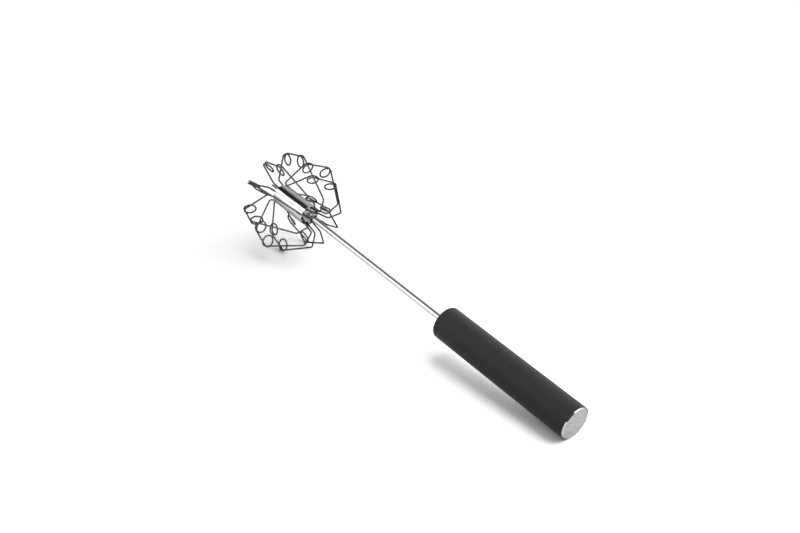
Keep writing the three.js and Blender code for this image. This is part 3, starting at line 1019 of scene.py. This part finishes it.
    def bend(self, corners: list[Vector], radius: float) -> list[Vector]:
        """Rounds one plain corner of a wing's wire.

        Args:
            corners: The corner, between its neighbours.
            radius: The bend's radius, which the shorter leg may cut down.

        Returns:
            The points of the bend.
        """
        before, corner, after = corners
        into = corner - before
        out = after - corner
        shortest = min(into.length, out.length)
        tangent = min(radius * math.tan(into.angle(out) / 2), shortest * self.longest_bend_share)
        start = corner - into.normalized() * tangent
        end = corner + out.normalized() * tangent
        points = []
        for i in range(self.bend_steps + 1):
            share = i / self.bend_steps
            points.append(start * (1 - share) ** 2 + corner * (2 * share * (1 - share)) + end * share**2)
        return points

    def loop(self, corners: list[Vector]) -> list[Vector]:
        """Winds a wing's wire once round inside a corner, with its two turns side by side.

        Args:
            corners: The corner, between its neighbours.

        Returns:
            The points of the loop.
        """
        before, corner, after = corners
        into = (corner - before).normalized()
        out = (after - corner).normalized()
        turn = into.angle(out)
        normal = into.cross(out).normalized()
        inward = normal.cross(into)
        centre = corner - into * (self.loop_radius * math.tan(turn / 2)) + inward * self.loop_radius
        whole = 2 * math.pi + turn
        side = (self.wire_diameter + self.loop_turn_gap) * whole / (2 * math.pi)
        points = []
        for i in range(self.loop_steps + 1):
            share = i / self.loop_steps
            out_of_centre = into * math.sin(whole * share) - inward * math.cos(whole * share)
            points.append(centre + out_of_centre * self.loop_radius + normal * (side * (share - 0.5)))
        return points

    def route(self, wing: WingBend, index: int) -> list[Vector]:
        """Gives the middle line of one wing's wire.

        Args:
            wing: How the wing is bent.
            index: The wing's number from 0.

        Returns:
            The line's points, in millimetres in the whisk's frame.
        """
        seat_degrees = self.seat_angle(index)
        seat, near, middle, far = (
            math.radians(seat_degrees + turn)
            for turn in (0, wing.sway - wing.lean / 2, wing.sway, wing.sway + wing.lean / 2)
        )
        seat_radius = self.seat_radius()
        inset = self.plug_set_back + self.plug_thickness
        corners = [
            around(-inset, seat_radius, seat),
            around(0.0, seat_radius, seat),
            around(*self.neck, near),
            around(*self.shoulder, near),
            around(self.corner_one[0] + wing.shift, self.corner_one[1] + wing.reach, middle),
            around(self.corner_two[0] + wing.far_shift, self.corner_two[1] + wing.far_reach, far),
            around(*self.far_bend, far),
            around(-self.hub_length, seat_radius, seat),
            around(inset - self.hub_length, seat_radius, seat),
        ]
        entry, plain, looped = self.entry_bend_radius, self.bend_radius, None
        points = [corners[0]]
        for i, radius in enumerate((entry, plain, plain, looped, looped, plain, entry)):
            here = corners[i : i + 3]
            points += self.loop(here) if radius is looped else self.bend(here, radius)
        return points + [corners[-1]]


@dataclass
class Studio:
    """The table, the light and the camera."""

    eye: tuple[float, float, float] = (493.5, -419.0, 441.2)
    aim: tuple[float, float, float] = (-16.8, 10.9, 37.4)
    roll_degrees: float = 0.8
    focal_length: float = 45.0
    sensor_width: float = 36.0
    sight: float = 100000.0
    table_reach: float = 6000.0
    table_shade: str = "#c6c6c6"
    # The table is shown overexposed, most of all by the handle, so that its shadows fade early: the camera
    # alone sees it this much brighter than white, a painted pool of light by the head, by the rod and by the handle.
    table_white: float = 1.08
    painted_pool_by_rod: float = 1.3
    painted_pool_by_handle: float = 1.85
    painted_pool_rod_ramp: tuple[float, float] = (-190.0, -125.0)
    painted_pool_handle_ramp: tuple[float, float] = (20.0, 75.0)
    table_glow: float = 0.16  # what metal mirrors of the table besides the light that falls on it
    key_strength: float = 2.8
    key_angle_degrees: float = 80.0
    key_from: tuple[float, float, float] = (0.2, 0.61, 0.765)
    room_strength: float = 0.32
    arch_radius: float = 1500.0
    arch_reach: tuple[float, float] = (-3000.0, 500.0)
    arch_start_degrees: float = 8.0
    arch_end_degrees: float = 110.0  # here its dark part ends
    arch_dark: float = 0.018
    arch_dark_from: float = 0.24  # of the radius, measured out towards the back
    arch_front_degrees: float = 165.0  # here its bright front part ends
    arch_front_glow: float = 1.3
    arch_pale: float = 0.75
    arch_steps: int = 24
    wall_distance: float = 1400.0
    wall_reach: tuple[float, float] = (-1670.0, 400.0)
    wall_height: float = 1400.0
    wall_dark: float = 0.006
    card_distance: float = 1150.0
    card_azimuth_degrees: float = 42.0
    card_elevation_degrees: float = 28.0
    card_width: float = 1120.0
    card_height: float = 560.0
    card_glow: float = 1.6

    def build(self) -> None:
        """Builds the table, world, lights and camera."""
        self.build_camera()
        self.build_table()
        self.build_world()
        self.build_key()
        self.build_arch()
        self.build_wall()
        self.build_card()
        bpy.context.scene.view_settings.view_transform = "Standard"

    def build_camera(self) -> None:
        """Sets the camera where the photograph was taken from."""
        data = bpy.data.cameras.new("camera")
        data.lens = self.focal_length
        data.sensor_width = self.sensor_width
        data.clip_end = self.sight * MM
        eye = Vector(self.eye) * MM
        ahead = (Vector(self.aim) * MM - eye).normalized()
        roll = Quaternion((0, 0, 1), math.radians(self.roll_degrees))
        camera = new_object("camera", data)
        camera.location = eye
        camera.rotation_mode = "QUATERNION"
        camera.rotation_quaternion = ahead.to_track_quat("-Z", "Y") @ roll
        bpy.context.scene.camera = camera

    def build_table(self) -> None:
        """Builds the white table, which keeps the whisk's shadow and carries a painted pool of light, seen by the
        camera alone, that grows towards the handle.
        """
        recipe = Recipe("white_laminate_table")
        rays = add_node(recipe.tree, "LightPath").outputs
        along = add_node(recipe.tree, "SeparateXYZ", {"Vector": recipe.space}).outputs["X"]
        # Painted pool of light: for camera rays the table's white rises along X, by the rod and then by the handle.
        white = self.table_white
        painted_pool_ramps = ((self.painted_pool_rod_ramp, self.painted_pool_by_rod), (self.painted_pool_handle_ramp, self.painted_pool_by_handle))
        for (start, end), pool_brightest in painted_pool_ramps:
            inputs = {
                "interpolation_type": "SMOOTHSTEP",
                "Value": along,
                "From Min": start * MM,
                "From Max": end * MM,
                "To Min": white,
                "To Max": pool_brightest,
            }
            white = add_node(recipe.tree, "MapRange", inputs).outputs["Result"]
        shades = {"data_type": "RGBA", 0: rays["Is Camera Ray"], 6: linear(self.table_shade), 7: white}
        colour = add_node(recipe.tree, "Mix", shades).outputs[2]
        matt = add_node(recipe.tree, "BsdfDiffuse", {"Color": colour}).outputs["BSDF"]
        mirrored = {"operation": "MULTIPLY", 0: rays["Is Glossy Ray"], 1: self.table_glow}
        strength = add_node(recipe.tree, "Math", mirrored).outputs["Value"]
        glow = add_node(recipe.tree, "Emission", {"Strength": strength}).outputs["Emission"]
        both = add_node(recipe.tree, "AddShader", {0: matt, 1: glow}).outputs["Shader"]
        signs = ((-1, -1), (1, -1), (1, 1), (-1, 1))
        corners = [Vector((x, y, 0)) * self.table_reach for x, y in signs]
        self.surface("table", corners, [QUAD], recipe.finish(both))

    def build_world(self) -> None:
        """Builds the room: white where it is seen or mirrored, and a softer fill on matt surfaces."""
        world = bpy.data.worlds.new("room")
        world.use_nodes = True
        tree = world.node_tree
        tree.nodes.clear()
        rays = add_node(tree, "LightPath").outputs
        seen = rays["Is Camera Ray"]
        for kind in ("Is Glossy Ray", "Is Transmission Ray"):
            seen = add_node(tree, "Math", {"operation": "MAXIMUM", 0: seen, 1: rays[kind]}).outputs["Value"]
        levels = {"Value": seen, "To Min": self.room_strength, "To Max": 1.0}
        strength = add_node(tree, "MapRange", levels).outputs["Result"]
        room = add_node(tree, "Background", {"Color": (1.0, 1.0, 1.0, 1.0), "Strength": strength})
        add_node(tree, "OutputWorld", {"Surface": room.outputs["Background"]})
        bpy.context.scene.world = world

    def build_key(self) -> None:
        """Hangs one broad, soft light behind and above the whisk."""
        data = bpy.data.lights.new("key_light", "SUN")
        data.energy = self.key_strength
        data.angle = math.radians(self.key_angle_degrees)
        key = new_object("key_light", data)
        key.rotation_mode = "QUATERNION"
        key.rotation_quaternion = Vector(self.key_from).to_track_quat("Z", "Y")
        key.visible_glossy = False

    def build_arch(self) -> None:
        """Builds the studio's arched ceiling, a glowing sheet seen only in reflections, dark with a bright front part,
        which paints dark and light reflections on glossy surfaces.
        """
        recipe = Recipe("ceiling_for_painted_reflections")
        across = add_node(recipe.tree, "SeparateXYZ", {"Vector": recipe.space}).outputs["Y"]
        radius = self.arch_radius * MM
        shade = recipe.spread(across, self.arch_pale, self.arch_dark, radius, radius * self.arch_dark_from)
        dark_end = radius * math.cos(math.radians(self.arch_end_degrees))
        in_front = add_node(recipe.tree, "Math", {"operation": "LESS_THAN", 0: across, 1: dark_end})
        parts = {"data_type": "FLOAT", 0: in_front.outputs["Value"], 2: shade, 3: self.arch_front_glow}
        level = add_node(recipe.tree, "Mix", parts).outputs[0]
        glow = add_node(recipe.tree, "Emission", {"Strength": level}).outputs["Emission"]
        sweep = self.arch_front_degrees - self.arch_start_degrees
        points = []
        for i in range(self.arch_steps + 1):
            angle = math.radians(self.arch_start_degrees + sweep * (i / self.arch_steps))
            points += [around(along, self.arch_radius, angle) for along in self.arch_reach]
        faces = [(2 * i, 2 * i + 1, 2 * i + 3, 2 * i + 2) for i in range(self.arch_steps)]
        self.show_in_mirrors_only(self.surface("ceiling", points, faces, recipe.finish(glow)))

    def build_wall(self) -> None:
        """Builds a near-black glowing wall beyond the handle, seen only in reflections, which paints dark reflections
        on polished surfaces.
        """
        near, far = self.wall_reach
        sides = ((near, 0), (far, 0), (far, self.wall_height), (near, self.wall_height))
        corners = [Vector((self.wall_distance, y, z)) for y, z in sides]
        dark_reflection_glow = self.glowing("wall_for_painted_dark_reflections", self.wall_dark)
        self.show_in_mirrors_only(self.surface("end_wall", corners, [QUAD], dark_reflection_glow))

    def build_card(self) -> None:
        """Stands a white card that glows brighter than white in the studio's far corner, seen only in reflections,
        which paints the highlight on polished edges.
        """
        azimuth = math.radians(self.card_azimuth_degrees)
        elevation = math.radians(self.card_elevation_degrees)
        level = math.cos(elevation)
        away = Vector((math.cos(azimuth) * level, math.sin(azimuth) * level, math.sin(elevation)))
        side = Vector((0, 0, 1)).cross(away).normalized() * (self.card_width / 2)
        up = away.cross(side).normalized() * (self.card_height / 2)
        centre = away * self.card_distance
        corners = [centre - side - up, centre + side - up, centre + side + up, centre - side + up]
        highlight_glow = self.glowing("card_for_painted_highlights", self.card_glow)
        self.show_in_mirrors_only(self.surface("corner_card", corners, [QUAD], highlight_glow))

    @staticmethod
    def glowing(name: str, strength: float) -> Material:
        """Makes a material that shines evenly.

        Args:
            name: The material's name.
            strength: How strongly it shines, where 1 is white.

        Returns:
            The material.
        """
        recipe = Recipe(name)
        glow = add_node(recipe.tree, "Emission", {"Strength": strength})
        return recipe.finish(glow.outputs["Emission"])

    @staticmethod
    def surface(name: str, points: list[Vector], faces: list[tuple[int, ...]], material: Material) -> Object:
        """Adds one of the studio's surfaces.

        Args:
            name: Its name.
            points: Its points, in millimetres in the row's frame.
            faces: Its faces, as numbers of points.
            material: Its finish.

        Returns:
            The surface.
        """
        mesh = new_mesh(name, points, faces)
        mesh.materials.append(material)
        return new_object(name, mesh)

    @staticmethod
    def show_in_mirrors_only(panel: Object) -> None:
        """Leaves a studio surface to be mirrored in metal, without lighting or shading anything.

        Args:
            panel: The surface.
        """
        panel.visible_camera = False
        panel.visible_diffuse = False
        panel.visible_shadow = False
        panel.visible_transmission = False
        panel.visible_volume_scatter = False


def main() -> None:
    """Builds the studio and the whisk, one sub-assembly after another."""
    logging.basicConfig(level=logging.INFO, format="%(name)s: %(message)s")
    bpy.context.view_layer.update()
    home = WhiskFrame.from_joints(frame["joints"])
    finishes = Finishes()
    Studio().build()
    log.info("studio built")
    Handle(home, finishes).build()
    Spindle(home, finishes).build()


if __name__ == "__main__":
    main()
